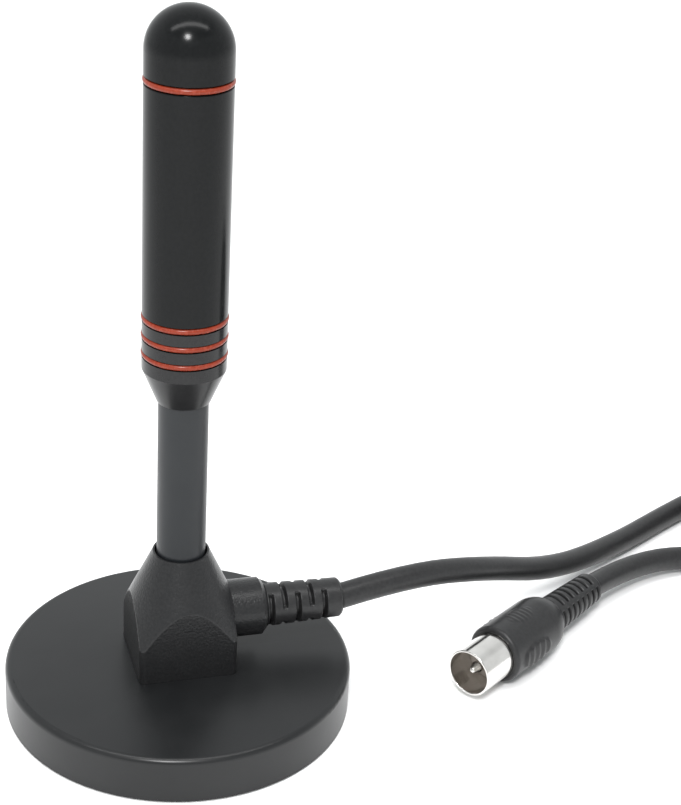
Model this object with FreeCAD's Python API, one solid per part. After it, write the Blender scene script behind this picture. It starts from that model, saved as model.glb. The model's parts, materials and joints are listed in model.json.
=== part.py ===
"""Small indoor television aerial: magnetic disc base, hub, turning stem, sealed radiator and coax lead.

Millimetres. The origin is on the surface that the base stands on, under the middle of the stem.
+Z is up and the lead leaves the hub along +X.
"""
import FreeCAD, Part
import math
import os

from FreeCAD import Vector

# ---- driving dimensions ----------------------------------------------------------------------
# disc base
base_radius = 32.5
base_edge_height = 9.1
base_crown = 0.75
base_edge_round = 1.2
cover_wall = 1.2
cover_lift = 0.35
foot_thickness = 0.9
foot_gap = 0.2
magnet_side_gap = 5.3
magnet_screw_gap = 0.7
plate_overhang = 2.5
plate_thickness = 1.2

# hub
hub_width = 18.4
hub_corner_round = 1.2
hub_edge_round = 0.5
hub_seat_depth = 0.35
hub_top = 32.45
hub_lip_wall = 0.32
hub_taper = 0.466  # growth of the cone's radius for each millimetre down
chamber_top = 25.55
screw_share = 0.4  # of the way from the chamber's wall to the hub's corner
screw_radius = 1.1
screw_head_radius = 2.4
screw_head_height = 1.4
screw_head_round = 0.5
screw_slot_length = 3.4
screw_slot_width = 0.7
screw_slot_depth = 0.7
screw_grip = 3.6
screw_spare_depth = 0.4

# stem and the bush that it turns in
stem_radius = 4.5
stem_wall = 0.9
stem_below_chamber_top = 2.3
lip_gap = 0.38
bush_wall = 0.65
bush_length = 4.2
bush_flange_step = 1.1
bush_flange_thickness = 0.8
bush_flange_gap = 0.2
bead_height = 0.4
bead_width = 0.8
clip_thickness = 0.8
clip_stands_out = 1.65
clip_seat_depth = 0.5
clip_opening = 70.0  # degrees

# radiator
mast_radius = 7.5
collar_bottom = 63.35
collar_lip = 0.35
cone_height = 6.3
collar_band = 2.35
ring_section = 1.02
ring_stands_out = 0.15
ring_pitch = 3.35
groove_width = 1.3
rim_ease = 0.15
sleeve_length = 40.5
spigot_wall = 1.85
spigot_length = 6.25
stem_grip = 7.0
dome_skirt = 4.3
cap_spigot_wall = 1.15
cap_spigot_length = 9.5
former_foot = 2.0
former_disc = 2.5
wire_radius = 0.45
wire_pitch = 3.4
wire_turns = 7.0
lead_bore = 3.0
terminal_radius = 0.6
terminal_length = 5.5
terminal_head = 0.8
terminal_gap = 0.5

# lead, gland and boot
cable_radius = 2.5
core_radius = 0.95
core_bend_radius = 7.6
gland_height = 18.35
gland_wall = 1.25
gland_reach = 6.6
gland_chamfer = 0.7
boot_stem_wall = 1.65
boot_flange_step = 0.75
boot_flange_thickness = 1.1
boot_neck = 0.65
boot_end_wall = 1.25
boot_ribs = 5
boot_rib_pitch = 2.6
boot_slot_width = 0.9
boot_slot_depth = 0.95
boot_collar = 1.55
relief_edge = 0.3
jacket_past_bend = 0.6
ferrule_wall = 0.65
ferrule_length = 3.8
ferrule_overlap = 1.3

# plug
shell_radius = 4.75
shell_wall = 0.45
shell_length = 8.5
shell_buried = 5.5
shell_step = 0.2
shell_rim_share = 0.4  # of the wall that the rim's rounding takes
pin_radius = 1.18
pin_recess = 1.0
pin_point = 1.7
pin_tip_share = 0.55  # of the pin's radius that its tip keeps
insulator_front = 6.6
insulator_thickness = 3.4
plug_wall = 1.15
plug_length = 19.0
plug_front_round = 0.8
plug_shoulder = 5.0
tail_wall = 1.4
tail_end_wall = 0.75
tail_length = 16.0
tail_neck = 1.2
tail_slots = 7
tail_slot_pitch = 1.95
tail_slot_width = 0.85
tail_slot_depth = 0.8
grip_stands_out = 0.5
grip_start = 4.0
grip_ridges = 4
grip_pitch = 2.1
grip_ridge_width = 1.2
grip_spread = 46.0  # degrees
grip_root = 0.5
plug_ferrule_length = 6.5
bared_core = 3.0
plug_turn = 34.4  # degrees about +Z, from the tip to the tail
plug_tail = (90.0, 12.0)

# coil of put-away lead
coil_centre = (173.3, 35.9)
coil_inner_turn = 27.0
coil_turns_up = 3.425
coil_in_angle = 110.0
coil_out_angle = -119.5
coil_edge_round = 2.2
tie_thickness = 0.7
tie_width = 5.0
tie_angle = -5.0

# clearances
press_gap = 0.02
running_gap = 0.05
seat_gap = 0.05
tie_gap = 0.2
free_gap = 0.3
floor_gap = 0.1
pocket_gap = 0.1

# ---- places that follow from the dimensions --------------------------------------------------
crown_top = base_edge_height + base_crown
cover_ceiling = base_edge_height - cover_wall
hub_seat = crown_top - hub_seat_depth
hub_half = hub_width / 2
plate_bottom = cover_ceiling - plate_thickness - seat_gap
magnet_thickness = plate_bottom - foot_thickness
magnet_radius = base_radius - cover_wall - magnet_side_gap
plate_radius = magnet_radius + plate_overhang

bush_outer = stem_radius + running_gap + bush_wall
bush_flange_radius = bush_outer + bush_flange_step
chamber_radius = bush_flange_radius + bush_flange_gap
clip_radius = stem_radius + clip_stands_out
hub_lip_radius = stem_radius + lip_gap + hub_lip_wall
hub_corner = (hub_half - hub_corner_round) * math.sqrt(2) + hub_corner_round
screw_distance = chamber_radius + screw_share * (hub_corner - chamber_radius)
screw_offset = screw_distance / math.sqrt(2)
magnet_bore = screw_distance + screw_head_radius + magnet_screw_gap
bush_bottom = chamber_top - bush_flange_thickness
bush_top = chamber_top + bush_length
bead_radius = stem_radius + bead_height
bead_bottom = bush_top + seat_gap
bead_pocket_top = bead_bottom + bead_width + free_gap
clip_top = bush_bottom - seat_gap
clip_bottom = clip_top - clip_thickness
stem_bottom = chamber_top - stem_below_chamber_top
stem_top = collar_bottom + stem_grip

ring_centre = mast_radius + ring_stands_out - ring_section / 2
groove_floor = ring_centre - ring_section / 2
cone_top = collar_bottom + cone_height
first_ring = cone_top + collar_band + groove_width / 2
ring_heights = [first_ring + ring_pitch * i for i in range(3)]
collar_shoulder = ring_heights[2] - groove_width / 2
sleeve_bottom = ring_heights[2] + groove_width / 2
sleeve_top = sleeve_bottom + sleeve_length
cap_ring_height = sleeve_top + groove_width / 2
cap_shoulder = sleeve_top + groove_width
dome_centre = cap_shoulder + dome_skirt
spigot_top = sleeve_bottom + spigot_length
spigot_bore = groove_floor - spigot_wall
spigot_floor = sleeve_bottom + seat_gap
cap_bore = groove_floor - cap_spigot_wall
cap_spigot_bottom = cap_shoulder - cap_spigot_length
former_radius = spigot_bore - 2 * (wire_radius + seat_gap)
wire_centre = former_radius + seat_gap + wire_radius
wire_start = spigot_top + 2 * wire_radius
former_top = cap_spigot_bottom + seat_gap + former_disc
terminal_bottom = spigot_floor + former_foot - terminal_length
core_top = terminal_bottom - terminal_gap

boot_stem_radius = cable_radius + boot_stem_wall
boot_flange_radius = boot_stem_radius + boot_flange_step
boot_end_radius = cable_radius + boot_end_wall
gland_radius = boot_stem_radius + seat_gap + gland_wall
gland_end = hub_half + gland_reach
boot_flange_face = chamber_radius + seat_gap
boot_bore = cable_radius + press_gap
boot_slots_start = gland_end + boot_neck
boot_end = boot_slots_start + boot_ribs * boot_rib_pitch + boot_collar
jacket_end = core_bend_radius + jacket_past_bend
ferrule_end = jacket_end + ferrule_overlap
ferrule_outer = cable_radius + seat_gap + ferrule_wall

plug_radius = shell_radius + plug_wall
tail_radius = cable_radius + tail_wall
tail_end_radius = cable_radius + tail_end_wall
plug_front = shell_length
shoulder_start = plug_front + plug_length - plug_shoulder
tail_start = plug_front + plug_length
plug_total = tail_start + tail_length
plug_ferrule_start = shell_length + shell_buried
plug_ferrule_end = plug_ferrule_start + plug_ferrule_length

cable_diameter = 2 * cable_radius
coil_outer_turn = coil_inner_turn + cable_diameter
coil_low = tie_thickness + cable_radius
coil_high = coil_low + cable_diameter * coil_turns_up
lying = cable_radius + floor_gap


def coil_point(radius, angle):
    """A point on the floor's lowest layer of the coil."""
    a = math.radians(angle)
    return (coil_centre[0] + radius * math.cos(a), coil_centre[1] + radius * math.sin(a), coil_low)


# the lead from the boot to the coil, and from the coil to the plug's tail
lead_route = [
    (boot_end, 0.0, gland_height),
    (46.0, 2.8, 19.75),
    (64.0, 9.0, 15.5),
    (84.0, 19.0, lying + 4.0),
    (105.0, 32.0, lying + 0.1),
    (126.0, 44.5, lying),
    (145.5, 53.6, lying + 0.2),
    coil_point(coil_inner_turn, coil_in_angle),
]
plug_route = [
    coil_point(coil_outer_turn, coil_out_angle),
    (141.0, 17.5, lying),
    (124.0, 23.6, lying),
    (105.3, 22.5, lying + 1.6),
    (plug_tail[0], plug_tail[1], plug_radius),
]

made = {}


# ---- shape helpers ---------------------------------------------------------------------------
def keep(name, shape):
    """Store a sub-part under its name."""
    made[name] = shape
    return shape


def outline(start, *steps):
    """A closed face in the XZ plane. A step is (r, z), or ((r, z), (r, z)) for an arc through the first."""
    at = Vector(start[0], 0, start[1])
    first, edges = at, []
    for step in steps:
        if isinstance(step[0], tuple):
            middle, end = (Vector(p[0], 0, p[1]) for p in step)
            edges.append(Part.Arc(at, middle, end).toShape())
        else:
            end = Vector(step[0], 0, step[1])
            edges.append(Part.makeLine(at, end))
        at = end
    if (at - first).Length > 1e-6:
        edges.append(Part.makeLine(at, first))
    return Part.Face(Part.Wire(edges))


def turned(start, *steps):
    """A solid of revolution about Z."""
    return outline(start, *steps).revolve(Vector(), Vector(0, 0, 1), 360)


def corner_arc(centre, radius, start, end):
    """The arc step of a rounded corner, from one angle to another in degrees."""
    middle = math.radians((start + end) / 2)
    last = math.radians(end)
    return (
        (centre[0] + radius * math.cos(middle), centre[1] + radius * math.sin(middle)),
        (centre[0] + radius * math.cos(last), centre[1] + radius * math.sin(last)),
    )


def disc(radius, bottom, height):
    return Part.makeCylinder(radius, height, Vector(0, 0, bottom))


def pipe(outer, inner, bottom, height):
    return disc(outer, bottom, height).cut(disc(inner, bottom, height))


def along_x(shape, height):
    """Turn a solid made about Z so that its axis lies along +X at a height."""
    laid = shape.copy()
    laid.rotate(Vector(), Vector(0, 1, 0), 90)
    laid.translate(Vector(0, 0, height))
    return laid


def sector(outer, inner, bottom, height, middle, spread):
    """Part of a flat ring, centred on one angle."""
    ring = Part.makeCylinder(outer, height, Vector(0, 0, bottom), Vector(0, 0, 1), spread)
    ring = ring.cut(disc(inner, bottom - 1, height + 2))
    ring.rotate(Vector(), Vector(0, 0, 1), middle - spread / 2)
    return ring


def crown_height(radius):
    """The height of the cover's shallow crown at a distance from the axis."""
    flat = base_radius - base_edge_round
    return crown_top - base_crown * (radius / flat) ** 2


def slotted(shape, start, count, pitch, width, depth, radius_at, spread=118):
    """Cut staggered pairs of slots into a strain relief, one pair a quarter turn from the last."""
    for i in range(count):
        x = start + pitch * i
        outer = radius_at(x)
        for side in (0, 180):
            cut = sector(outer + 1, outer - depth, x, width, side + 90 * (i % 2), spread)
            shape = shape.cut(cut)
    return shape


def bend_radii(route):
    """The radius of each arc of a cord's path, from its neighbouring runs and its turn."""
    points = [Vector(*p) for p in route]
    radii = []
    for before, at, after in zip(points, points[1:], points[2:]):
        one, two = at - before, after - at
        half = one.getAngle(two) / 2
        radii.append(0.45 * min(one.Length, two.Length) / math.tan(half))
    return radii


def cord(name, route):
    """A round cord along straight runs joined by tangent arcs."""
    points = [Vector(*p) for p in route]
    radii = bend_radii(route)
    at, edges = points[0], []
    for before, corner, after, radius in zip(points, points[1:], points[2:], radii):
        back = (before - corner).normalize()
        on = (after - corner).normalize()
        half = (corner - before).getAngle(after - corner) / 2
        reach = radius * math.tan(half)
        start, end = corner + back * reach, corner + on * reach
        towards = (back + on).normalize()
        middle = corner + towards * (radius / math.cos(half) - radius)
        edges.append(Part.LineSegment(at, start).toShape())
        edges.append(Part.Arc(start, middle, end).toShape())
        at = end
    edges.append(Part.LineSegment(at, points[-1]).toShape())
    path = Part.Wire(edges)
    first = (points[1] - points[0]).normalize()
    ring = Part.Wire(Part.makeCircle(cable_radius, points[0], first))
    tube = path.makePipeShell([ring], True, True)
    expected = math.pi * cable_radius**2 * path.Length
    tight = ", ".join(f"{r:.0f}" for r in radii)
    print(f"{name}: {path.Length:.1f} mm, radii {tight}, volume {tube.Volume / expected:.4f} of its section")
    return keep(name, tube)


# ---- base ------------------------------------------------------------------------------------
def foot_pad():
    radius = base_radius - cover_wall - foot_gap
    keep("foot_pad", disc(radius, 0, foot_thickness))


def base_magnet():
    keep("base_magnet", pipe(magnet_radius, magnet_bore, foot_thickness, magnet_thickness))


def magnet_plate():
    keep("magnet_plate", pipe(plate_radius, magnet_bore, plate_bottom, plate_thickness))


def screw_places():
    return [(screw_offset, -screw_offset), (-screw_offset, screw_offset)]


def base_cover():
    flat = base_radius - base_edge_round
    inner = base_radius - cover_wall
    crown_middle = (flat / 2, crown_height(flat / 2))
    shell = turned(
        (0, cover_ceiling),
        (inner, cover_ceiling),
        (inner, cover_lift),
        (base_radius, cover_lift),
        (base_radius, base_edge_height - base_edge_round),
        corner_arc((flat, base_edge_height - base_edge_round), base_edge_round, 0, 90),
        (crown_middle, (0, crown_top)),
    )
    seat_half = hub_half + seat_gap
    seat = Part.makeBox(2 * seat_half, 2 * seat_half, 5, Vector(-seat_half, -seat_half, hub_seat))
    corners = [e for e in seat.Edges if abs(e.tangentAt(0).z) > 0.9]
    seat = seat.makeFillet(hub_corner_round, corners)
    shell = shell.cut(seat)
    for x, y in screw_places():
        hole = disc(screw_radius + running_gap, cover_ceiling - 1, crown_top)
        hole.translate(Vector(x, y, 0))
        shell = shell.cut(hole)
    keep("base_cover", shell)


def hub_screws():
    screws = []
    for x, y in screw_places():
        head = disc(screw_head_radius, cover_ceiling - screw_head_height, screw_head_height)
        rim = [e for e in head.Edges if e.BoundBox.ZMax < cover_ceiling - 0.1]
        head = head.makeFillet(screw_head_round, rim)
        shank = disc(screw_radius, cover_ceiling, hub_seat + screw_grip - cover_ceiling)
        slot = Part.makeBox(
            screw_slot_length,
            screw_slot_width,
            screw_slot_depth,
            Vector(-screw_slot_length / 2, -screw_slot_width / 2, cover_ceiling - screw_head_height),
        )
        cross = slot.copy()
        cross.rotate(Vector(), Vector(0, 0, 1), 90)
        screw = head.fuse(shank).removeSplitter().cut(slot).cut(cross)
        screw.translate(Vector(x, y, 0))
        screws.append(screw)
    keep("hub_screws", Part.makeCompound(screws))


# ---- hub -------------------------------------------------------------------------------------
def hub_block():
    """The outside of the hub: a square block under a steep cone, with soft edges."""
    height = hub_top - hub_seat
    block = Part.makeBox(hub_width, hub_width, height, Vector(-hub_half, -hub_half, hub_seat))
    uprights = [e for e in block.Edges if abs(e.tangentAt(0).z) > 0.9]
    block = block.makeFillet(hub_corner_round, uprights)
    cone = Part.makeCone(hub_lip_radius + hub_taper * height, hub_lip_radius, height, Vector(0, 0, hub_seat))
    block = block.common(cone)
    arches = [e for e in block.Edges if e.BoundBox.ZMin > hub_seat + 0.1 and e.BoundBox.ZMax < hub_top - 0.1]
    arches = [e for e in arches if e.BoundBox.ZLength < 0.8 * (hub_top - hub_seat)]
    return block.makeFillet(hub_edge_round, arches)


def hub_housing():
    shell = hub_block()
    gland = turned(
        (0, 0),
        (gland_radius, 0),
        (gland_radius, gland_end - gland_chamfer),
        (gland_radius - gland_chamfer, gland_end),
        (0, gland_end),
    )
    shell = shell.fuse(along_x(gland, gland_height)).removeSplitter()
    shell = shell.cut(disc(chamber_radius, hub_seat - 1, chamber_top - hub_seat + 1))
    pocket_half = boot_flange_radius + pocket_gap
    pocket = Part.makeBox(
        chamber_radius - cable_radius,
        2 * pocket_half,
        2 * pocket_half,
        Vector(boot_flange_face - chamber_radius + cable_radius, -pocket_half, gland_height - pocket_half),
    )
    shell = shell.cut(pocket)
    bore = disc(boot_stem_radius + seat_gap, boot_flange_face - 1, gland_end)
    shell = shell.cut(along_x(bore, gland_height))
    shell = shell.cut(disc(bush_outer + press_gap, chamber_top - 1, bead_pocket_top - chamber_top + 1))
    shell = shell.cut(disc(stem_radius + lip_gap, chamber_top, hub_top))
    for x, y in screw_places():
        pilot = disc(screw_radius + press_gap, hub_seat - 1, screw_grip + screw_spare_depth + 1)
        pilot.translate(Vector(x, y, 0))
        shell = shell.cut(pilot)
    keep("hub_housing", shell)


def stem_bush():
    bore = stem_radius + running_gap
    keep("stem_bush", turned(
        (bore, bush_bottom),
        (bush_flange_radius, bush_bottom),
        (bush_flange_radius, chamber_top),
        (bush_outer, chamber_top),
        (bush_outer, bush_top),
        (bore, bush_top),
    ))


# ---- stem ------------------------------------------------------------------------------------
def stem_tube():
    inner = stem_radius - stem_wall
    seat = stem_radius - clip_seat_depth
    bead_middle = bead_bottom + bead_width / 2
    keep("stem_tube", turned(
        (inner, stem_bottom),
        (stem_radius, stem_bottom),
        (stem_radius, clip_bottom - press_gap),
        (seat, clip_bottom - press_gap),
        (seat, clip_top + press_gap),
        (stem_radius, clip_top + press_gap),
        (stem_radius, bead_bottom),
        ((bead_radius, bead_middle), (stem_radius, bead_bottom + bead_width)),
        (stem_radius, stem_top),
        (inner, stem_top),
    ))


def stem_clip():
    ring = pipe(clip_radius, stem_radius - clip_seat_depth + press_gap, clip_bottom, clip_thickness)
    mouth = sector(clip_radius + 1, 0.01, clip_bottom - 1, clip_thickness + 2, 0, clip_opening)
    keep("stem_clip", ring.cut(mouth))


# ---- radiator --------------------------------------------------------------------------------
def groove_steps(height):
    """The outline of one ring groove, from its lower edge to its upper edge."""
    low, high = height - groove_width / 2, height + groove_width / 2
    return [(mast_radius, low), (groove_floor, low), (groove_floor, high), (mast_radius, high)]


def reducer_collar():
    bore = stem_radius + press_gap
    grooves = groove_steps(ring_heights[0]) + groove_steps(ring_heights[1])
    keep("reducer_collar", turned(
        (bore, collar_bottom),
        (stem_radius + collar_lip, collar_bottom),
        (mast_radius, cone_top),
        *grooves,
        (mast_radius, collar_shoulder),
        (groove_floor, collar_shoulder),
        (groove_floor, spigot_top),
        (spigot_bore, spigot_top),
        (spigot_bore, spigot_floor),
        (lead_bore, spigot_floor),
        (lead_bore, stem_top + press_gap),
        (bore, stem_top + press_gap),
    ))


def ring_seals():
    names = ["lower_ring", "middle_ring", "upper_ring", "cap_ring"]
    for name, height in zip(names, ring_heights + [cap_ring_height]):
        keep(name, Part.makeTorus(ring_centre, ring_section / 2, Vector(0, 0, height)))


def radiator_sleeve():
    inner = groove_floor + seat_gap
    tube = pipe(mast_radius, inner, sleeve_bottom, sleeve_length)
    circles = [e for e in tube.Edges if e.BoundBox.ZLength < 0.01]
    rims = [e for e in circles if e.BoundBox.XLength > mast_radius + inner]
    keep("radiator_sleeve", tube.makeFillet(rim_ease, rims))


def dome_cap():
    keep("dome_cap", turned(
        (cap_bore, cap_spigot_bottom),
        (groove_floor, cap_spigot_bottom),
        (groove_floor, cap_shoulder),
        (mast_radius - rim_ease, cap_shoulder),
        (mast_radius, cap_shoulder + rim_ease),
        (mast_radius, dome_centre),
        corner_arc((0, dome_centre), mast_radius, 0, 90),
        (0, dome_centre + cap_bore),
        corner_arc((0, dome_centre), cap_bore, 90, 0),
    ))


def coil_former():
    foot = spigot_bore - seat_gap
    disc_radius = cap_bore - seat_gap
    keep("coil_former", turned(
        (terminal_radius + press_gap, spigot_floor),
        (foot, spigot_floor),
        (foot, spigot_floor + former_foot),
        (former_radius, spigot_floor + former_foot),
        (former_radius, former_top - former_disc),
        (disc_radius, former_top - former_disc),
        (disc_radius, former_top),
        (terminal_radius + press_gap, former_top),
    ))


def radiating_coil():
    helix = Part.makeHelix(wire_pitch, wire_pitch * wire_turns, wire_centre)
    ring = Part.Wire(Part.makeCircle(wire_radius, Vector(wire_centre, 0, 0), Vector(0, 1, 0)))
    wire = helix.makePipeShell([ring], True, True)
    wire.translate(Vector(0, 0, wire_start))
    keep("radiating_coil", wire)


def feed_terminal():
    pin = disc(terminal_radius, terminal_bottom, terminal_length)
    head = disc(2 * terminal_radius, terminal_bottom, terminal_head)
    keep("feed_terminal", pin.fuse(head).removeSplitter())


# ---- lead inside the hub ---------------------------------------------------------------------
def feed_core():
    """The stripped core, round one bend and up the middle of the stem."""
    start = Vector(jacket_end, 0, gland_height)
    turn = Vector(core_bend_radius, 0, gland_height)
    middle = math.radians(225)
    centre = Vector(core_bend_radius, 0, gland_height + core_bend_radius)
    halfway = centre + Vector(math.cos(middle), 0, math.sin(middle)) * core_bend_radius
    top = Vector(0, 0, gland_height + core_bend_radius)
    path = Part.Wire([
        Part.makeLine(start, turn),
        Part.Arc(turn, halfway, top).toShape(),
        Part.makeLine(top, Vector(0, 0, core_top)),
    ])
    ring = Part.Wire(Part.makeCircle(core_radius, start, Vector(-1, 0, 0)))
    keep("feed_core", path.makePipeShell([ring], True, True))


def cable_base_end():
    keep("cable_base_end", along_x(disc(cable_radius, jacket_end, boot_end - jacket_end), gland_height))


def braid_ferrule():
    inner = cable_radius + seat_gap
    ring = pipe(ferrule_outer, inner, ferrule_end - ferrule_length, ferrule_length)
    keep("braid_ferrule", along_x(ring, gland_height))


def boot_radius(x):
    """The boot's tapered outside at a distance along it."""
    share = (x - gland_end) / (boot_end - gland_end)
    return boot_stem_radius + (boot_end_radius - boot_stem_radius) * share


def cable_boot():
    flange_back = boot_flange_face - boot_flange_thickness
    pocket = ferrule_outer + seat_gap
    body = turned(
        (pocket, flange_back),
        (boot_flange_radius, flange_back),
        (boot_flange_radius, boot_flange_face),
        (boot_stem_radius, boot_flange_face),
        (boot_stem_radius, gland_end),
        (boot_end_radius, boot_end - relief_edge),
        (boot_end_radius - relief_edge, boot_end),
        (boot_bore, boot_end),
        (boot_bore, ferrule_end + seat_gap),
        (pocket, ferrule_end + seat_gap),
    )
    body = slotted(
        body, boot_slots_start, boot_ribs, boot_rib_pitch, boot_slot_width, boot_slot_depth, boot_radius
    )
    keep("cable_boot", along_x(body, gland_height))


# ---- plug ------------------------------------------------------------------------------------
def plug_place(shape):
    """Lay a solid made about Z, with the plug's tip at z = 0, where the plug lies on the floor."""
    laid = shape.copy()
    laid.rotate(Vector(), Vector(0, 1, 0), 90)
    laid.rotate(Vector(), Vector(0, 0, 1), plug_turn)
    along = Vector(math.cos(math.radians(plug_turn)), math.sin(math.radians(plug_turn)), 0)
    laid.translate(Vector(plug_tail[0], plug_tail[1], plug_radius) - along * plug_total)
    return laid


def plug_shell():
    inner = shell_radius - shell_wall
    tube = pipe(shell_radius, inner, 0, shell_length)
    rim = [e for e in tube.Edges if e.BoundBox.ZMax < 0.01]
    root = pipe(shell_radius - shell_step, inner, shell_length, shell_buried)
    tube = tube.makeFillet(shell_wall * shell_rim_share, rim).fuse(root).removeSplitter()
    keep("plug_shell", plug_place(tube))


def plug_insulator():
    outer = shell_radius - shell_wall - press_gap
    keep("plug_insulator", plug_place(
        pipe(outer, pin_radius + press_gap, insulator_front, insulator_thickness)
    ))


def plug_pin():
    tip = pin_tip_share * pin_radius
    keep("plug_pin", plug_place(turned(
        (0, pin_recess),
        corner_arc((0, pin_recess + tip), tip, -90, -35),
        (pin_radius, pin_recess + pin_point),
        (pin_radius, plug_ferrule_start - seat_gap),
        (0, plug_ferrule_start - seat_gap),
    )))


def plug_ferrule():
    inner = cable_radius + seat_gap
    ring = pipe(inner + ferrule_wall, inner, plug_ferrule_start + seat_gap, plug_ferrule_length)
    keep("plug_ferrule", plug_place(ring))


def cable_plug_end():
    keep("cable_plug_end", plug_place(turned(
        (0, plug_ferrule_start),
        (core_radius, plug_ferrule_start),
        (core_radius, plug_ferrule_start + bared_core),
        (cable_radius, plug_ferrule_start + bared_core),
        (cable_radius, plug_total),
        (0, plug_total),
    )))


def tail_radius_at(x):
    """The plug's tapered tail at a distance from its tip."""
    share = (x - tail_start) / tail_length
    return tail_radius + (tail_end_radius - tail_radius) * share


def grip_ridge_set(body):
    """Two raised pads of ridges, one on each side of the plug."""
    for i in range(grip_ridges):
        bottom = plug_front + grip_start + grip_pitch * i
        for side in (90, 270):
            ridge = sector(
                plug_radius + grip_stands_out, plug_radius - grip_root,
                bottom, grip_ridge_width, side, grip_spread,
            )
            body = body.fuse(ridge)
    return body.removeSplitter()


def plug_body():
    shell_bore = shell_radius - shell_step + press_gap
    ferrule_bore = cable_radius + seat_gap + ferrule_wall + press_gap
    ferrule_back = plug_ferrule_end + 2 * seat_gap
    drop = plug_radius - tail_radius
    shoulder_round = (drop**2 + plug_shoulder**2) / (2 * drop)
    shoulder_turn = math.degrees(math.asin(plug_shoulder / shoulder_round))
    front = plug_front + plug_front_round
    body = turned(
        (shell_bore, plug_front),
        (plug_radius - plug_front_round, plug_front),
        corner_arc((plug_radius - plug_front_round, front), plug_front_round, -90, 0),
        (plug_radius, shoulder_start),
        corner_arc((plug_radius - shoulder_round, shoulder_start), shoulder_round, 0, shoulder_turn),
        (tail_end_radius, plug_total - relief_edge),
        (tail_end_radius - relief_edge, plug_total),
        (boot_bore, plug_total),
        (boot_bore, ferrule_back),
        (ferrule_bore, ferrule_back),
        (ferrule_bore, plug_ferrule_start + press_gap),
        (shell_bore, plug_ferrule_start + press_gap),
    )
    body = grip_ridge_set(body)
    body = slotted(
        body,
        tail_start + tail_neck,
        tail_slots,
        tail_slot_pitch,
        tail_slot_width,
        tail_slot_depth,
        tail_radius_at,
    )
    keep("plug_body", plug_place(body))


# ---- lead on the floor -----------------------------------------------------------------------
def cable_coil():
    inner = coil_inner_turn - cable_radius
    outer = coil_outer_turn + cable_radius
    ring = pipe(outer, inner, tie_thickness, coil_high + cable_radius - tie_thickness)
    ring = ring.makeFillet(coil_edge_round, [e for e in ring.Edges if e.BoundBox.ZLength < 0.01])
    keep("cable_coil", ring.translated(Vector(coil_centre[0], coil_centre[1], 0)))


def coil_tie():
    width = coil_outer_turn - coil_inner_turn + cable_diameter
    height = coil_high + cable_radius
    middle = (coil_outer_turn + coil_inner_turn) / 2
    outer_width = width + 2 * (tie_thickness + tie_gap)
    outer_height = height + tie_thickness + seat_gap
    loop = Part.makeBox(outer_width, tie_width, outer_height, Vector(-outer_width / 2, 0, 0))
    long_edges = [e for e in loop.Edges if abs(e.tangentAt(0).y) > 0.9]
    loop = loop.makeFillet(coil_edge_round, long_edges)
    hole_width = width + 2 * tie_gap
    hole_height = height + seat_gap - tie_thickness
    hole = Part.makeBox(hole_width, tie_width + 2, hole_height, Vector(-hole_width / 2, -1, tie_thickness))
    long_edges = [e for e in hole.Edges if abs(e.tangentAt(0).y) > 0.9]
    hole = hole.makeFillet(coil_edge_round - tie_thickness, long_edges)
    loop = loop.cut(hole)
    loop.translate(Vector(middle, -tie_width / 2, 0))
    loop.rotate(Vector(), Vector(0, 0, 1), tie_angle)
    keep("coil_tie", loop.translated(Vector(coil_centre[0], coil_centre[1], 0)))


# ---- make everything -------------------------------------------------------------------------
for make in (
    foot_pad, base_magnet, magnet_plate, base_cover, hub_screws, hub_housing, stem_bush, stem_tube,
    stem_clip, reducer_collar, ring_seals, radiator_sleeve, dome_cap, coil_former, radiating_coil,
    feed_terminal, feed_core, cable_base_end, braid_ferrule, cable_boot, plug_shell, plug_insulator,
    plug_pin, plug_ferrule, cable_plug_end, plug_body, cable_coil, coil_tie,
):
    make()
cord("antenna_cable", lead_route)
cord("plug_lead", plug_route)

os.makedirs("parts", exist_ok=True)
for name, shape in made.items():
    solids = shape.Solids
    closed = all(s.isClosed() and s.isValid() for s in solids)
    print(f"{name}: {len(solids)} solid(s), {shape.Volume:.1f} mm3, {'closed' if closed else 'NOT CLOSED'}")
    shape.exportStep(f"parts/{name}.step")
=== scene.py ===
import bmesh
import bpy
import json
import math
from mathutils import Matrix, Vector


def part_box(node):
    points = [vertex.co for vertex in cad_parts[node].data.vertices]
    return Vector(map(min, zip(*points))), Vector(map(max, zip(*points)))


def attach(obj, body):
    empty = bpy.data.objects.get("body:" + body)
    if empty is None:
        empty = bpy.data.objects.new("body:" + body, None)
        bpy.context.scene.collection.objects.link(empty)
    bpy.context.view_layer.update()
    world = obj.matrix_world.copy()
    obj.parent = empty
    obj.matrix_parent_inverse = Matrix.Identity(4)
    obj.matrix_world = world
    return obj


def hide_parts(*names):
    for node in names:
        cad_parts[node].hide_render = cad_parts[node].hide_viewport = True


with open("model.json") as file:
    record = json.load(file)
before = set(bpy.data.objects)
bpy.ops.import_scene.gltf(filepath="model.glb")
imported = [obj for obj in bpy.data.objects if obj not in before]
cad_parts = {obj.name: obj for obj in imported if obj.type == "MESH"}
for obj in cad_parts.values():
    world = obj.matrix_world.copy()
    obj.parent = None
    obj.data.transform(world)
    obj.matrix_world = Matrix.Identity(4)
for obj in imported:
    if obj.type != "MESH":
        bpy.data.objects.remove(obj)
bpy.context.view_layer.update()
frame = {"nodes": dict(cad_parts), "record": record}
nodes = frame["nodes"]
mm = 0.001


# camera
cameraView = {
    "place": (-59.67, -280.7, 205.3),  # mm, in the aerial's own frame
    "yaw": 17.535,  # degrees to the right of +Y
    "pitch": 26.255,  # degrees down
    "roll": 3.46,
    "lens": 80.85,
    "sensor": 36.0,
}


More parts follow.
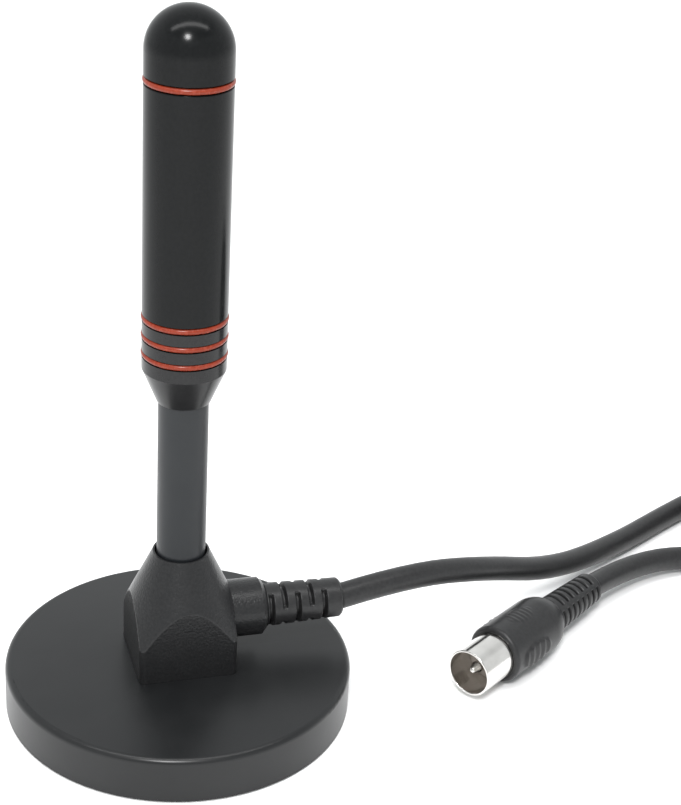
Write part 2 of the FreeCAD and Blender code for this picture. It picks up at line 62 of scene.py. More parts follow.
def makeCamera(view):
    yaw, pitch, roll = (math.radians(view[k]) for k in ("yaw", "pitch", "roll"))
    look = Vector((math.sin(yaw) * math.cos(pitch), math.cos(yaw) * math.cos(pitch), -math.sin(pitch)))
    side = Vector((math.cos(yaw), -math.sin(yaw), 0))
    up = side.cross(look)
    right = side * math.cos(roll) + up * math.sin(roll)
    top = up * math.cos(roll) - side * math.sin(roll)
    data = bpy.data.cameras.new("camera")
    data.lens = view["lens"]
    data.sensor_width = view["sensor"]
    data.clip_start = 0.01
    camera = bpy.data.objects.new("camera", data)
    bpy.context.scene.collection.objects.link(camera)
    turn = Matrix((right, top, -look)).transposed().to_4x4()
    camera.matrix_world = Matrix.Translation(Vector(view["place"]) * mm) @ turn
    bpy.context.scene.camera = camera


makeCamera(cameraView)
print("camera placed")


# where the lead leaves the boot
bootLow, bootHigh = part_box("cable_boot")
cableExit = Vector((bootHigh.x, 0, ((bootLow + bootHigh) / 2).z))


# lead
lead = {
    "diameter": 5.0 * mm,
    "length": 1.45,  # m
    "toCoil": [
        (31.0, 0.0, 18.35), (46.0, 2.8, 19.75), (64.0, 9.0, 15.5), (84.0, 19.0, 6.6),
        (105.0, 32.0, 2.7), (126.0, 44.5, 2.6), (145.5, 53.6, 2.8),
    ],
    "toPlug": [(141.0, 17.5, 2.6), (124.0, 23.6, 2.6), (105.3, 22.5, 4.2), (90.0, 12.0, 5.9)],
    "coilCentre": (173.3, 35.9),
    "innerTurn": 27.0,
    "outerTurn": 32.0,
    "lowest": 3.2,
    "startAngle": 110.0,
    "travel": 2389.5,  # degrees, clockwise
    "up": 1233.0,  # degrees that climb in the inner column
    "change": 54.0,  # degrees from the inner column to the outer one
    "underpass": 229.5,  # degrees at the end that come back to the floor
    "drop": 72.0,
    "pointsPerTurn": 16,
    "smoothing": 6,
    "roundness": 7,
}


def smooth(share):
    share = min(1.0, max(0.0, share))
    return share * share * (3 - 2 * share)


# radius and height of the coil after so many degrees: one column of turns up, then a wider one down
def coilPlace(s, gone):
    pitch = s["diameter"] / mm
    top = s["lowest"] + pitch * s["up"] / 360
    out = smooth((gone - s["up"]) / s["change"])
    radius = s["innerTurn"] + (s["outerTurn"] - s["innerTurn"]) * out
    left = s["travel"] - s["underpass"] - gone
    if gone < s["up"]:
        return radius, s["lowest"] + pitch * gone / 360
    if left > 0:
        coming = s["travel"] - s["underpass"] - s["up"] - s["change"]
        return radius, s["lowest"] + pitch + (top - s["lowest"] - pitch) * min(1.0, left / coming)
    return radius, s["lowest"] + pitch * (1 - smooth(-left / s["drop"]))


def coilTurns(s):
    count = round(s["travel"] / 360 * s["pointsPerTurn"])
    step = s["travel"] / count
    swell = 1 / (0.75 + 0.25 * math.cos(math.radians(step)))  # the spline runs inside its points
    points = []
    for i in range(count + 1):
        radius, height = coilPlace(s, step * i)
        angle = math.radians(s["startAngle"] - step * i)
        points.append((
            s["coilCentre"][0] + radius * swell * math.cos(angle),
            s["coilCentre"][1] + radius * swell * math.sin(angle),
            height,
        ))
    return points


def makeLead(s):
    route = s["toCoil"] + coilTurns(s) + s["toPlug"]
    data = bpy.data.curves.new("lead", "CURVE")
    data.dimensions = "3D"
    spline = data.splines.new("NURBS")
    spline.points.add(len(route) - 1)
    for point, place in zip(spline.points, route):
        point.co = (*(Vector(place) * mm), 1)
    spline.order_u = 3
    spline.use_endpoint_u = True
    spline.resolution_u = s["smoothing"]
    data.bevel_depth = s["diameter"] / 2
    data.bevel_resolution = s["roundness"]
    data.use_fill_caps = True
    piece = bpy.data.objects.new("lead", data)
    bpy.context.scene.collection.objects.link(piece)
    return piece


leadPiece = makeLead(lead)
print("lead laid")


# materials
def newMaterial(name):
    material = bpy.data.materials.new(name)
    material.use_nodes = True
    tree = material.node_tree
    shader = next(n for n in tree.nodes if n.type == "BSDF_PRINCIPLED")
    return material, tree, shader


# a node with links from other nodes' sockets
def addNode(tree, kind, links):
    node = tree.nodes.new(kind)
    for key, source in links.items():
        tree.links.new(source, node.inputs[key])
    return node


def objectPoint(tree, stretch=(1, 1, 1)):
    coords = tree.nodes.new("ShaderNodeTexCoord")
    mapping = addNode(tree, "ShaderNodeMapping", {"Vector": coords.outputs["Object"]})
    mapping.inputs["Scale"].default_value = stretch
    return mapping.outputs["Vector"]


def noise(tree, at, scale, detail=3.0, roughness=0.5):
    node = addNode(tree, "ShaderNodeTexNoise", {"Vector": at})
    node.inputs["Scale"].default_value = scale
    node.inputs["Detail"].default_value = detail
    node.inputs["Roughness"].default_value = roughness
    return node.outputs["Fac"]


# map a pattern's values to a range
def spread(tree, value, low, high, fromLow=0.3, fromHigh=0.7):
    node = addNode(tree, "ShaderNodeMapRange", {"Value": value})
    for key, number in (("From Min", fromLow), ("From Max", fromHigh), ("To Min", low), ("To Max", high)):
        node.inputs[key].default_value = number
    return node.outputs["Result"]


def blendColours(tree, value, dark, light, fromLow=0.35, fromHigh=0.65):
    ramp = addNode(tree, "ShaderNodeValToRGB", {"Fac": value})
    ends = ramp.color_ramp.elements
    ends[0].position, ends[0].color = fromLow, (*dark, 1)
    ends[1].position, ends[1].color = fromHigh, (*light, 1)
    return ramp.outputs["Color"]


def bumpFrom(tree, shader, height, distance, before=None):
    links = {"Height": height}
    if before is not None:
        links["Normal"] = before
    bump = addNode(tree, "ShaderNodeBump", links)
    bump.inputs["Distance"].default_value = distance
    bump.inputs["Strength"].default_value = 1.0
    tree.links.new(bump.outputs["Normal"], shader.inputs["Normal"])
    return bump.outputs["Normal"]


# satin black paint on steel: faint orange peel, slightly uneven gloss, fine dust in the film
def paintFinish(name, s):
    material, tree, shader = newMaterial(name)
    at = objectPoint(tree)
    cloud = noise(tree, at, s["cloudScale"])
    grain = noise(tree, at, s["grainScale"], 2.0)
    tree.links.new(blendColours(tree, cloud, s["dark"], s["light"]), shader.inputs["Base Color"])
    tree.links.new(spread(tree, cloud, s["roughLow"], s["roughHigh"]), shader.inputs["Roughness"])
    first = bumpFrom(tree, shader, noise(tree, at, s["peelScale"], 2.0), s["peelDepth"])
    bumpFrom(tree, shader, grain, s["grainDepth"], first)
    shader.inputs["Specular IOR Level"].default_value = s["specular"]
    return material


# black plastic out of an etched mould: fine pits over a soft, cloudy gloss
def mouldedFinish(name, s):
    material, tree, shader = newMaterial(name)
    at = objectPoint(tree)
    cloud = noise(tree, at, s["cloudScale"])
    pits = addNode(tree, "ShaderNodeTexVoronoi", {"Vector": at})
    pits.inputs["Scale"].default_value = s["pitScale"]
    fine = noise(tree, at, s["fineScale"], 4.0, 0.65)
    tree.links.new(blendColours(tree, fine, s["dark"], s["light"]), shader.inputs["Base Color"])
    tree.links.new(spread(tree, cloud, s["roughLow"], s["roughHigh"]), shader.inputs["Roughness"])
    first = bumpFrom(tree, shader, pits.outputs["Distance"], s["pitDepth"])
    bumpFrom(tree, shader, fine, s["fineDepth"], first)
    shader.inputs["Specular IOR Level"].default_value = s["specular"]
    return material


# plated or drawn metal with fine lines along one direction and a little tarnish
def metalFinish(name, s):
    material, tree, shader = newMaterial(name)
    at = objectPoint(tree, s["stretch"])
    lines = noise(tree, at, s["lineScale"], 3.0)
    cloud = noise(tree, objectPoint(tree), s["cloudScale"])
    tree.links.new(blendColours(tree, cloud, s["dark"], s["light"]), shader.inputs["Base Color"])
    tree.links.new(spread(tree, lines, s["roughLow"], s["roughHigh"]), shader.inputs["Roughness"])
    bumpFrom(tree, shader, lines, s["lineDepth"])
    shader.inputs["Metallic"].default_value = 1.0
    return material


# rubber: dull, with a soft sheen at the edges and faint moulding dust
def rubberFinish(name, s):
    material, tree, shader = newMaterial(name)
    at = objectPoint(tree)
    dust = noise(tree, at, s["dustScale"], 4.0, 0.6)
    tree.links.new(blendColours(tree, dust, s["dark"], s["light"]), shader.inputs["Base Color"])
    tree.links.new(spread(tree, dust, s["roughLow"], s["roughHigh"]), shader.inputs["Roughness"])
    bumpFrom(tree, shader, noise(tree, at, s["grainScale"], 2.0), s["grainDepth"])
    shader.inputs["Specular IOR Level"].default_value = s["specular"]
    return material


finishes = {
    "basePaint": paintFinish("basePaint", {
        "dark": (0.0065, 0.007, 0.0075), "light": (0.0098, 0.0103, 0.0108), "cloudScale": 60,
        "grainScale": 2600, "grainDepth": 1.5e-6, "peelScale": 500, "peelDepth": 6e-6,
        "roughLow": 0.3, "roughHigh": 0.36, "specular": 0.36,
    }),
    "stemPaint": paintFinish("stemPaint", {
        "dark": (0.012, 0.0137, 0.0157), "light": (0.0155, 0.0172, 0.0192), "cloudScale": 90,
        "grainScale": 3200, "grainDepth": 1.5e-6, "peelScale": 900, "peelDepth": 3e-6,
        "roughLow": 0.34, "roughHigh": 0.42, "specular": 0.32,
    }),
    "mastPlastic": mouldedFinish("mastPlastic", {
        "dark": (0.005, 0.0055, 0.0058), "light": (0.0068, 0.0073, 0.0076), "cloudScale": 70,
        "pitScale": 2400, "pitDepth": 2e-7, "fineScale": 1500, "fineDepth": 5e-7,
        "roughLow": 0.17, "roughHigh": 0.21, "specular": 0.15,
    }),
    "collarPlastic": mouldedFinish("collarPlastic", {
        "dark": (0.008, 0.008, 0.0085), "light": (0.012, 0.012, 0.0125), "cloudScale": 80,
        "pitScale": 2400, "pitDepth": 4e-7, "fineScale": 1700, "fineDepth": 1e-6,
        "roughLow": 0.18, "roughHigh": 0.24, "specular": 0.3,
    }),
    "hubPlastic": mouldedFinish("hubPlastic", {
        "dark": (0.0095, 0.0097, 0.0103), "light": (0.015, 0.0152, 0.0158), "cloudScale": 120,
        "pitScale": 2300, "pitDepth": 3.6e-5, "fineScale": 1950, "fineDepth": 3.6e-5,
        "roughLow": 0.27, "roughHigh": 0.35, "specular": 0.32,
    }),
    "leadPvc": mouldedFinish("leadPvc", {
        "dark": (0.012, 0.012, 0.0125), "light": (0.019, 0.019, 0.0195), "cloudScale": 90,
        "pitScale": 2500, "pitDepth": 4e-6, "fineScale": 1400, "fineDepth": 8e-6,
        "roughLow": 0.34, "roughHigh": 0.44, "specular": 0.36,
    }),
    "plugPvc": mouldedFinish("plugPvc", {
        "dark": (0.0115, 0.0115, 0.012), "light": (0.018, 0.018, 0.0185), "cloudScale": 110,
        "pitScale": 2600, "pitDepth": 5e-6, "fineScale": 1500, "fineDepth": 1e-5,
        "roughLow": 0.32, "roughHigh": 0.42, "specular": 0.36,
    }),
    "tiePlastic": mouldedFinish("tiePlastic", {
        "dark": (0.015, 0.015, 0.015), "light": (0.022, 0.022, 0.022), "cloudScale": 150,
        "pitScale": 1800, "pitDepth": 8e-6, "fineScale": 1200, "fineDepth": 1e-5,
        "roughLow": 0.4, "roughHigh": 0.5, "specular": 0.4,
    }),
    "ringRubber": rubberFinish("ringRubber", {
        "dark": (0.185, 0.022, 0.008), "light": (0.235, 0.031, 0.012), "dustScale": 1400,
        "grainScale": 3000, "grainDepth": 1e-6, "roughLow": 0.22, "roughHigh": 0.3, "specular": 0.3,
    }),
    "footRubber": rubberFinish("footRubber", {
        "dark": (0.012, 0.012, 0.012), "light": (0.035, 0.035, 0.036), "dustScale": 1100,
        "grainScale": 900, "grainDepth": 6e-5, "roughLow": 0.75, "roughHigh": 0.9, "specular": 0.3,
    }),
    "ferrite": rubberFinish("ferrite", {
        "dark": (0.04, 0.04, 0.042), "light": (0.075, 0.074, 0.074), "dustScale": 700,
        "grainScale": 1500, "grainDepth": 2e-5, "roughLow": 0.5, "roughHigh": 0.7, "specular": 0.5,
    }),
    "whitePlastic": rubberFinish("whitePlastic", {
        "dark": (0.66, 0.64, 0.58), "light": (0.76, 0.75, 0.70), "dustScale": 600,
        "grainScale": 1600, "grainDepth": 4e-6, "roughLow": 0.35, "roughHigh": 0.45, "specular": 0.5,
    }),
    "plugInsulator": rubberFinish("plugInsulator", {
        "dark": (0.30, 0.262, 0.232), "light": (0.38, 0.34, 0.305), "dustScale": 1200,
        "grainScale": 2400, "grainDepth": 5e-6, "roughLow": 0.42, "roughHigh": 0.55, "specular": 0.45,
    }),
    "nickel": metalFinish("nickel", {
        "dark": (0.66, 0.645, 0.62), "light": (0.74, 0.725, 0.70), "cloudScale": 250,
        "stretch": (1, 1, 1), "lineScale": 1200, "lineDepth": 1e-6, "roughLow": 0.12, "roughHigh": 0.2,
    }),
    "zincSteel": metalFinish("zincSteel", {
        "dark": (0.46, 0.47, 0.48), "light": (0.6, 0.6, 0.58), "cloudScale": 300,
        "stretch": (1, 1, 0.1), "lineScale": 1500, "lineDepth": 3e-6, "roughLow": 0.28, "roughHigh": 0.42,
    }),
    "copper": metalFinish("copper", {
        "dark": (0.62, 0.30, 0.16), "light": (0.80, 0.46, 0.28), "cloudScale": 400,
        "stretch": (1, 1, 1), "lineScale": 1800, "lineDepth": 2e-6, "roughLow": 0.2, "roughHigh": 0.34,
    }),
}
wears = {
    "foot_pad": "footRubber", "base_magnet": "ferrite", "magnet_plate": "zincSteel",
    "base_cover": "basePaint", "hub_screws": "zincSteel", "hub_housing": "hubPlastic",
    "stem_bush": "whitePlastic", "cable_boot": "plugPvc", "braid_ferrule": "zincSteel",
    "cable_base_end": "leadPvc", "feed_core": "whitePlastic", "antenna_cable": "leadPvc",
    "cable_coil": "leadPvc", "coil_tie": "tiePlastic", "plug_lead": "leadPvc", "plug_body": "plugPvc",
    "plug_shell": "nickel", "plug_insulator": "plugInsulator", "plug_pin": "nickel",
    "plug_ferrule": "zincSteel", "cable_plug_end": "leadPvc", "stem_tube": "stemPaint",
    "stem_clip": "zincSteel", "reducer_collar": "collarPlastic", "lower_ring": "ringRubber",
    "middle_ring": "ringRubber", "upper_ring": "ringRubber", "cap_ring": "ringRubber",
    "radiator_sleeve": "mastPlastic", "dome_cap": "mastPlastic", "coil_former": "whitePlastic",
    "radiating_coil": "copper", "feed_terminal": "copper",
}
for nodeName, finish in wears.items():
    mesh = nodes[nodeName].data
    mesh.materials.clear()
    mesh.materials.append(finishes[finish])
leadPiece.data.materials.append(finishes["leadPvc"])
print("materials made")


# ribbed strain reliefs, by geometry nodes

# a small writer of geometry node trees
class Tree:
    def __init__(self, name, inputs):
        self.tree = bpy.data.node_groups.new(name, "GeometryNodeTree")
        for label, kind, value in inputs:
            socket = self.tree.interface.new_socket(label, in_out="INPUT", socket_type=kind)
            if value is not None:
                socket.default_value = value
        self.tree.interface.new_socket("Geometry", in_out="OUTPUT", socket_type="NodeSocketGeometry")
        self.given = self.tree.nodes.new("NodeGroupInput")
        self.result = self.tree.nodes.new("NodeGroupOutput")

    def value(self, label):
        return self.given.outputs[label]

    # a number into an input, or a link from another node's socket
    def put(self, node, key, source):
        if isinstance(source, (int, float)):
            node.inputs[key].default_value = source
        else:
            self.tree.links.new(source, node.inputs[key])

    def node(self, kind, sources):
        node = self.tree.nodes.new(kind)
        for key, source in sources.items():
            self.put(node, key, source)
        return node

    def calc(self, operation, *sources):
        node = self.node("ShaderNodeMath", dict(enumerate(sources)))
        node.operation = operation
        return node.outputs[0]

    # 0 below low, 1 above high, smooth between
    def step(self, value, low, high):
        node = self.node("ShaderNodeMapRange", {0: value, 1: low, 2: high})
        node.interpolation_type = "SMOOTHSTEP"
        return node.outputs[0]


reliefEnds = {
    "fade": 0.12,  # radians over which a slot runs out
    "softFrom": -0.1 * mm, "softTo": 0.5 * mm,  # how far the soft edge reaches in from an end
    "softDrop": 0.35 * mm,
    "weld": 0.002 * mm,
}


# a tapered tube about X with staggered pairs of slots, closed down to the lead at both ends
def reliefTree(s):
    t = Tree("ribbedRelief", [
        ("Length", "NodeSocketFloat", 14 * mm),
        ("Start Radius", "NodeSocketFloat", 4 * mm),
        ("End Radius", "NodeSocketFloat", 3.5 * mm),
        ("Bore Radius", "NodeSocketFloat", 2.5 * mm),
        ("First Slot", "NodeSocketFloat", 1 * mm),
        ("Slot Pitch", "NodeSocketFloat", 2 * mm),
        ("Slot Width", "NodeSocketFloat", 0.9 * mm),
        ("Slot Depth", "NodeSocketFloat", 0.9 * mm),
        ("Slots", "NodeSocketInt", 5),
        ("Slot Reach", "NodeSocketFloat", 1.1),
        ("Slot Turn", "NodeSocketFloat", 0.0),
        ("Edge Round", "NodeSocketFloat", 0.25 * mm),
        ("Rings", "NodeSocketInt", 180),
        ("Around", "NodeSocketInt", 97),
        ("Material", "NodeSocketMaterial", None),
    ])
    calc, step = t.calc, t.step
    length, pitch, reach = t.value("Length"), t.value("Slot Pitch"), t.value("Slot Reach")

    # a flat grid: one side runs along the relief, the other round it
    grid = t.node("GeometryNodeMeshGrid", {
        "Size X": 1.0, "Size Y": 1.0, "Vertices X": t.value("Rings"), "Vertices Y": t.value("Around"),
    })
    place = t.node("GeometryNodeInputPosition", {})
    split = t.node("ShaderNodeSeparateXYZ", {0: place.outputs[0]})
    ringGap = calc("DIVIDE", 1.0, calc("SUBTRACT", t.value("Rings"), 1.0))
    share = calc("ADD", split.outputs[0], 0.5)
    inner = calc("SUBTRACT", 1.0, calc("MULTIPLY", ringGap, 2.0))
    along = calc("DIVIDE", calc("SUBTRACT", share, ringGap), inner)
    along = calc("MINIMUM", calc("MAXIMUM", along, 0.0), 1.0)
    angle = calc("MULTIPLY", calc("ADD", split.outputs[1], 0.5), 2 * math.pi)
    x = calc("MULTIPLY", along, length)
    taper = calc("SUBTRACT", t.value("End Radius"), t.value("Start Radius"))
    outside = calc("ADD", t.value("Start Radius"), calc("MULTIPLY", taper, along))

    # which slot this ring is in, and how far from the slot's middle
    turnsIn = calc("DIVIDE", calc("SUBTRACT", x, t.value("First Slot")), pitch)
    slot = calc("FLOOR", calc("ADD", turnsIn, 0.5))
    off = calc("MULTIPLY", calc("ABSOLUTE", calc("SUBTRACT", turnsIn, slot)), pitch)
    half = calc("MULTIPLY", t.value("Slot Width"), 0.5)
    inSlot = calc("SUBTRACT", 1.0, step(off, half, calc("ADD", half, t.value("Edge Round"))))
    last = calc("SUBTRACT", t.value("Slots"), 0.5)
    real = calc("MULTIPLY", calc("GREATER_THAN", slot, -0.5), calc("LESS_THAN", slot, last))

    # every second slot is turned by a quarter
    quarter = calc("MULTIPLY", calc("MODULO", calc("ABSOLUTE", slot), 2.0), math.pi / 2)
    turned = calc("SUBTRACT", calc("ADD", angle, quarter), t.value("Slot Turn"))
    facing = calc("ARCCOSINE", calc("ABSOLUTE", calc("COSINE", turned)))
    around = calc("SUBTRACT", 1.0, step(facing, calc("SUBTRACT", reach, s["fade"]), reach))
    depth = calc("MULTIPLY", around, t.value("Slot Depth"))
    cut = calc("MULTIPLY", calc("MULTIPLY", inSlot, real), depth)

    # a soft edge at both ends, then straight down to the lead
    fromEnd = calc("MINIMUM", x, calc("SUBTRACT", length, x))
    softEnd = calc("SUBTRACT", 1.0, step(fromEnd, s["softFrom"], s["softTo"]))
    radius = calc("SUBTRACT", calc("SUBTRACT", outside, cut), calc("MULTIPLY", softEnd, s["softDrop"]))
    toEdge = calc("MINIMUM", share, calc("SUBTRACT", 1.0, share))
    atEnd = calc("LESS_THAN", toEdge, calc("MULTIPLY", ringGap, 0.5))
    drop = calc("MULTIPLY", atEnd, calc("SUBTRACT", radius, t.value("Bore Radius")))
    radius = calc("SUBTRACT", radius, drop)

    rolled = t.node("ShaderNodeCombineXYZ", {
        0: x,
        1: calc("MULTIPLY", radius, calc("COSINE", angle)),
        2: calc("MULTIPLY", radius, calc("SINE", angle)),
    })
    moved = t.node("GeometryNodeSetPosition", {
        "Geometry": grid.outputs["Mesh"], "Position": rolled.outputs[0],
    })
    welded = t.node("GeometryNodeMergeByDistance", {
        "Geometry": moved.outputs[0], "Distance": s["weld"],
    })
    smoothed = t.node("GeometryNodeSetShadeSmooth", {"Geometry": welded.outputs[0]})
    realized = t.node("GeometryNodeRealizeInstances", {"Geometry": smoothed.outputs[0]})
    painted = t.node("GeometryNodeSetMaterial", {
        "Geometry": realized.outputs[0], "Material": t.value("Material"),
    })
    t.put(t.result, 0, painted.outputs[0])
    return t.tree


# the plain mesh that a geometry node tree makes with these inputs
def grown(name, tree, values):
    holder = bpy.data.objects.new(name + "Grower", bpy.data.meshes.new(name + "Grower"))
    bpy.context.scene.collection.objects.link(holder)
    modifier = holder.modifiers.new("grow", "NODES")
    modifier.node_group = tree
    for socket in tree.interface.items_tree:
        if socket.item_type == "SOCKET" and socket.in_out == "INPUT" and socket.name in values:
            modifier[socket.identifier] = values[socket.name]
    found = holder.evaluated_get(bpy.context.evaluated_depsgraph_get())
    mesh = bpy.data.meshes.new_from_object(found)
    mesh.name = name
    bpy.data.objects.remove(holder)
    return mesh


# one object from several meshes, moved to their place in the mesh itself
def placed(name, meshes, matrix):
    whole = bmesh.new()
    for mesh in meshes:
        whole.from_mesh(mesh)
    rims = [edge for edge in whole.edges if edge.is_boundary]
    if rims:
        bmesh.ops.bridge_loops(whole, edges=rims)  # the wall of the bore
    bmesh.ops.recalc_face_normals(whole, faces=whole.faces)
    mesh = bpy.data.meshes.new(name)
    whole.to_mesh(mesh)
    whole.free()
    for material in meshes[0].materials:
        mesh.materials.append(material)
    mesh.transform(matrix)
    piece = bpy.data.objects.new(name, mesh)
    bpy.context.scene.collection.objects.link(piece)
    return piece


# the matrix that lays a mesh made along X at a place, with its Z kept upright
def alongX(origin, direction):
    across = Vector((0, 0, 1)).cross(direction).normalized()
    turn = Matrix((direction, across, direction.cross(across))).transposed().to_4x4()
    return Matrix.Translation(origin) @ turn


relief = reliefTree(reliefEnds)
boot = {
    "Length": 15.15 * mm, "Start Radius": 4.15 * mm, "End Radius": 3.75 * mm, "Bore Radius": 2.5 * mm,
    "First Slot": 1.08 * mm, "Slot Pitch": 2.6 * mm, "Slot Width": 0.34 * mm, "Slot Depth": 1.15 * mm,
    "Slots": 5, "Slot Reach": math.radians(68), "Slot Turn": math.radians(8), "Edge Round": 0.42 * mm,
    "Rings": 210, "Around": 121, "Material": finishes["plugPvc"],
}
bootStart = Vector((bootHigh.x - boot["Length"], 0, cableExit.z))
bootMesh = grown("cableBoot", relief, boot)
bootPiece = placed("cableBoot", [bootMesh], alongX(bootStart, Vector((1, 0, 0))))
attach(bootPiece, "base")
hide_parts("cable_boot")
print("boot grown")


# tie round the coil
tie = {
    "angle": -5.0,  # degrees round the coil
    "width": 5.0, "thickness": 0.7, "slack": 0.04, "edge": 0.18,  # mm
    "steps": 96,
}


# a band pulled tight round the turns that it holds
def makeTie(s, coil):
    crossed = []
    gone = coil["startAngle"] - s["angle"]
    while gone < coil["travel"]:
        crossed.append(Vector(coilPlace(coil, gone)))
        gone += 360
    half, edge, thick = s["width"] / 2, s["edge"], s["thickness"]
    profile = [
        (-half, edge), (edge - half, 0), (half - edge, 0), (half, edge),
        (half, thick - edge), (half - edge, thick), (edge - half, thick), (-half, thick - edge),
    ]
    work = bmesh.new()
    rows = []
    for k in range(s["steps"]):
        a = 2 * math.pi * k / s["steps"]
        facing = Vector((math.cos(a), math.sin(a)))
        held = max(crossed, key=facing.dot)
        reach = coil["diameter"] / mm / 2 + s["slack"]
        places = [(held + facing * (reach + out), side) for side, out in profile]
        rows.append([work.verts.new((place.x, side, place.y)) for place, side in places])
    for one, two in zip(rows, rows[1:] + rows[:1]):
        for k in range(len(profile)):
            after = (k + 1) % len(profile)
            work.faces.new((one[k], one[after], two[after], two[k]))
    mesh = bpy.data.meshes.new("coilTie")
    work.to_mesh(mesh)
    work.free()
    mesh.materials.append(finishes["tiePlastic"])
    mesh.transform(Matrix.Scale(mm, 4))
    turn = Matrix.Rotation(math.radians(s["angle"]), 4, "Z")
    centre = Matrix.Translation(Vector((*coil["coilCentre"], 0)) * mm)
    return placed("coilTie", [mesh], centre @ turn)


tiePiece = makeTie(tie, lead)
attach(tiePiece, "base")
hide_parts("coil_tie")
print("tie made")


# plug
plug = {
    "front": 8.5 * mm, "radius": 5.9 * mm, "frontRound": 0.8 * mm, "shoulderStart": 22.5 * mm,
    "end": 27.5 * mm, "tailRadius": 3.9 * mm, "boreRadius": 4.77 * mm, "around": 128, "rings": 110,
    "seat": 14.02 * mm, "ferruleEnd": 20.6 * mm, "ferruleRadius": 3.25 * mm, "leadRadius": 2.5 * mm,
    "edgeRings": 10,
    "gripMiddle": 15.2 * mm, "gripHalf": 5.2 * mm, "gripSpread": 27.0, "gripHeight": 0.5 * mm,
    "gripPitch": 1.9 * mm, "markMiddle": 16.4 * mm, "markHalf": 3.6 * mm, "markSpread": 21.0,
    "markHeight": 0.16 * mm, "markPitch": 1.1 * mm,
    "padFade": 0.22, "padFloor": 0.35,  # shares: the pad's edge that fades, its height between ridges
    "mountDepth": 4.33 * mm,  # from the tip of the shell to the middle of its mount
    "tailInside": 0.2 * mm,
}
plugTail = {
    "Length": 16.0 * mm, "Start Radius": 3.9 * mm, "End Radius": 3.25 * mm, "Bore Radius": 2.5 * mm,
    "First Slot": 1.2 * mm, "Slot Pitch": 0.94 * mm, "Slot Width": 0.7 * mm, "Slot Depth": 0.8 * mm,
    "Slots": 15, "Slot Reach": math.radians(39), "Slot Turn": 0.0, "Edge Round": 0.22 * mm,
    "Rings": 260, "Around": 121, "Material": finishes["plugPvc"],
}


# the grip's plain radius at a distance from the plug's tip
def plugOutline(s, x):
    if x < s["front"] + s["frontRound"]:
        into = s["front"] + s["frontRound"] - x
        return s["radius"] - s["frontRound"] + math.sqrt(max(0.0, s["frontRound"] ** 2 - into**2))
    if x > s["shoulderStart"]:
        drop, run = s["radius"] - s["tailRadius"], s["end"] - s["shoulderStart"]
        bend = (drop**2 + run**2) / (2 * drop)
        return s["radius"] - bend + math.sqrt(bend**2 - (x - s["shoulderStart"]) ** 2)
    return s["radius"]


# how far a ridged oval pad stands out of the grip
def padRise(s, kind, x, angle, faces):
    off = min(abs((angle - face + 180) % 360 - 180) for face in faces)
    out = math.hypot((x - s[kind + "Middle"]) / s[kind + "Half"], off / s[kind + "Spread"])
    ridge = 0.5 + 0.5 * math.cos(2 * math.pi * (x - s[kind + "Middle"]) / s[kind + "Pitch"])
    floor = s["padFloor"]
    return s[kind + "Height"] * smooth((1.0 - out) / s["padFade"]) * (floor + (1 - floor) * ridge)


# the moulded grip, as rings about X from its front face to the root of its tail
def makePlugGrip(s):
    first = s["front"] + s["frontRound"]
    quarter = [math.pi / 2 * i / s["edgeRings"] for i in range(s["edgeRings"])]
    xs = [first - s["frontRound"] * math.cos(a) for a in quarter]
    xs += [first + (s["end"] - first) * i / s["rings"] for i in range(s["rings"] + 1)]
    rings = [(s["seat"], s["boreRadius"]), (xs[0], s["boreRadius"])] + [(x, None) for x in xs]
    rings += [(s["end"], s["leadRadius"]), (s["ferruleEnd"], s["leadRadius"])]  # back through the bore
    rings += [(s["ferruleEnd"], s["ferruleRadius"]), (s["seat"], s["ferruleRadius"])]
    work = bmesh.new()
    rows = []
    for x, fixed in rings:
        row = []
        for k in range(s["around"]):
            turn = 360 * k / s["around"]
            radius = fixed
            if fixed is None:
                radius = plugOutline(s, x) + padRise(s, "grip", x, turn, (0, 180))
                radius += padRise(s, "mark", x, turn, (90,))
            a = math.radians(turn)
            row.append(work.verts.new((x, radius * math.cos(a), radius * math.sin(a))))
        rows.append(row)
    for one, two in zip(rows, rows[1:] + rows[:1]):
        for k in range(s["around"]):
            after = (k + 1) % s["around"]
            work.faces.new((one[k], one[after], two[after], two[k]))
    for face in work.faces:
        face.smooth = True
    mesh = bpy.data.meshes.new("plugGrip")
    work.to_mesh(mesh)
    work.free()
    mesh.materials.append(finishes["plugPvc"])
    return mesh


plugMount = next(m for m in frame["record"]["mounts"] if m["name"] == "plug_outer")
plugOut = Vector(plugMount["axis"]).normalized()
plugTip = Vector(plugMount["pos_m"]) + plugOut * plug["mountDepth"]
gripMesh = makePlugGrip(plug)
tailMesh = grown("plugTail", relief, plugTail)
tailMesh.transform(Matrix.Translation((plug["end"] - plug["tailInside"], 0, 0)))
plugPiece = placed("plugGrip", [gripMesh, tailMesh], alongX(plugTip, -plugOut))
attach(plugPiece, "base")
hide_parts("plug_body")
print("plug grip made")

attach(leadPiece, "base")
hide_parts("antenna_cable", "cable_coil", "plug_lead")
print("lead declared")


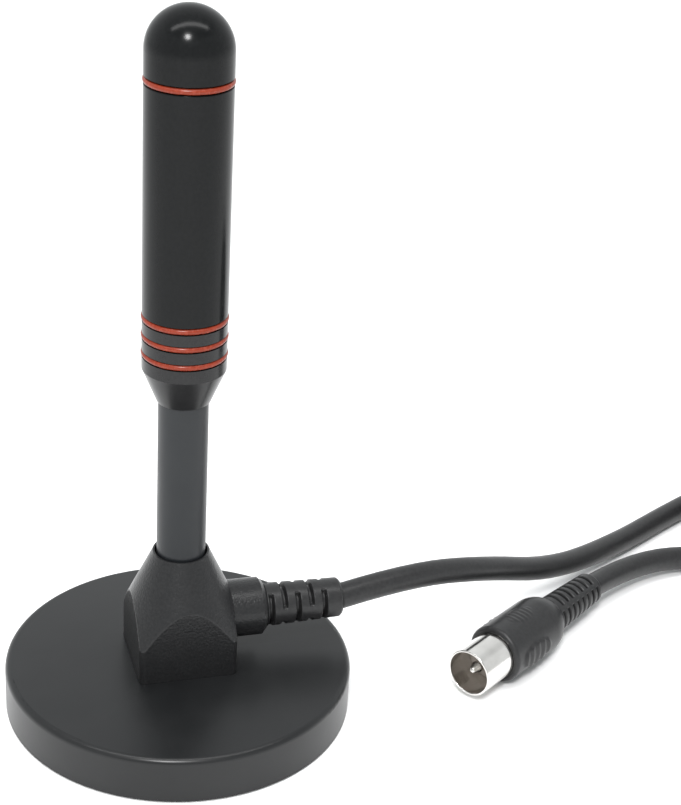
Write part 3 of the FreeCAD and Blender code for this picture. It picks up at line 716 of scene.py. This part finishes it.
# floor and lights
stage = {
    "floorSize": 8.0,
    "floorDrop": 0.1 * mm,
    "floorColour": (0.93, 0.93, 0.93),
    "floorRough": 0.8,
    "wallBack": 1.08,  # brightness of the walls, up to wallTop degrees
    "wallFront": 0.85,
    "wallBlend": (-0.5, 0.5),  # from front to back, as the Y of a direction
    "ceilingBack": 0.95,  # brightness above that
    "ceilingFront": 0.30,
    "ceilingBlend": (-0.25, 0.45),
    "worldColour": (0.965, 0.99, 1.0),
    "wallTop": 33.0,
    "wallFade": 11.0,
    "keyTurn": -161.0,  # degrees from +Y towards +X
    "keyRise": 45.5,
    "keyAway": 0.9,
    "keySize": 0.19,
    "keyPower": 6.6,
    "stripPlace": (-0.045, -0.10, 0.66),
    "stripAim": (-0.032, 0.0, 0.08),
    "stripSize": (0.9, 0.09),
    "stripPower": 2.2,
    "overheadPower": 1.3,
    "overheadSpread": 50.0,  # degrees
    "aim": (0.0, 0.0, 0.12),
}


def addLamp(name, shape, place, aim, size, power):
    data = bpy.data.lights.new(name, "AREA")
    data.shape = shape
    data.size, data.size_y = size
    data.energy = power
    lamp = bpy.data.objects.new(name, data)
    lamp.location = place
    lamp.rotation_euler = (aim - place).to_track_quat("-Z", "Y").to_euler()
    bpy.context.scene.collection.objects.link(lamp)


def makeStage(s):
    half = s["floorSize"] / 2
    mesh = bpy.data.meshes.new("floor")
    corners = [(-half, -half, 0), (half, -half, 0), (half, half, 0), (-half, half, 0)]
    mesh.from_pydata(corners, [], [(0, 1, 2, 3)])
    material, _, shader = newMaterial("floorPaper")
    shader.inputs["Base Color"].default_value = (*s["floorColour"], 1)
    shader.inputs["Roughness"].default_value = s["floorRough"]
    mesh.materials.append(material)
    floor = bpy.data.objects.new("floor", mesh)
    floor.location.z = -s["floorDrop"]
    bpy.context.scene.collection.objects.link(floor)

    world = bpy.data.worlds.new("studio")
    world.use_nodes = True
    tree = world.node_tree
    back = next(n for n in tree.nodes if n.type == "BACKGROUND")
    coords = tree.nodes.new("ShaderNodeTexCoord")
    split = addNode(tree, "ShaderNodeSeparateXYZ", {"Vector": coords.outputs["Generated"]})
    low = math.sin(math.radians(s["wallTop"]))
    high = math.sin(math.radians(s["wallTop"] + s["wallFade"]))
    walls = spread(tree, split.outputs["Y"], s["wallFront"], s["wallBack"], *s["wallBlend"])
    ceiling = spread(tree, split.outputs["Y"], s["ceilingFront"], s["ceilingBack"], *s["ceilingBlend"])
    up = spread(tree, split.outputs["Z"], 0.0, 1.0, low, high)
    shade = addNode(tree, "ShaderNodeMix", {"Factor": up})
    tree.links.new(walls, shade.inputs[2])
    tree.links.new(ceiling, shade.inputs[3])
    tree.links.new(shade.outputs[0], back.inputs["Strength"])
    back.inputs["Color"].default_value = (*s["worldColour"], 1)
    bpy.context.scene.world = world

    aim = Vector(s["aim"])
    turn, rise = math.radians(s["keyTurn"]), math.radians(s["keyRise"])
    towards = Vector((math.sin(turn) * math.cos(rise), math.cos(turn) * math.cos(rise), math.sin(rise)))
    size = (s["keySize"], s["keySize"])
    addLamp("key", "DISK", aim + towards * s["keyAway"], aim, size, s["keyPower"])
    stripPlace, stripAim = Vector(s["stripPlace"]), Vector(s["stripAim"])
    addLamp("strip", "RECTANGLE", stripPlace, stripAim, s["stripSize"], s["stripPower"])
    data = bpy.data.lights.new("overhead", "SUN")
    data.energy = s["overheadPower"]
    data.angle = math.radians(s["overheadSpread"])
    overhead = bpy.data.objects.new("overhead", data)
    overhead.visible_glossy = False
    bpy.context.scene.collection.objects.link(overhead)


makeStage(stage)
bpy.context.scene.view_settings.view_transform = "Standard"
print("stage lit")
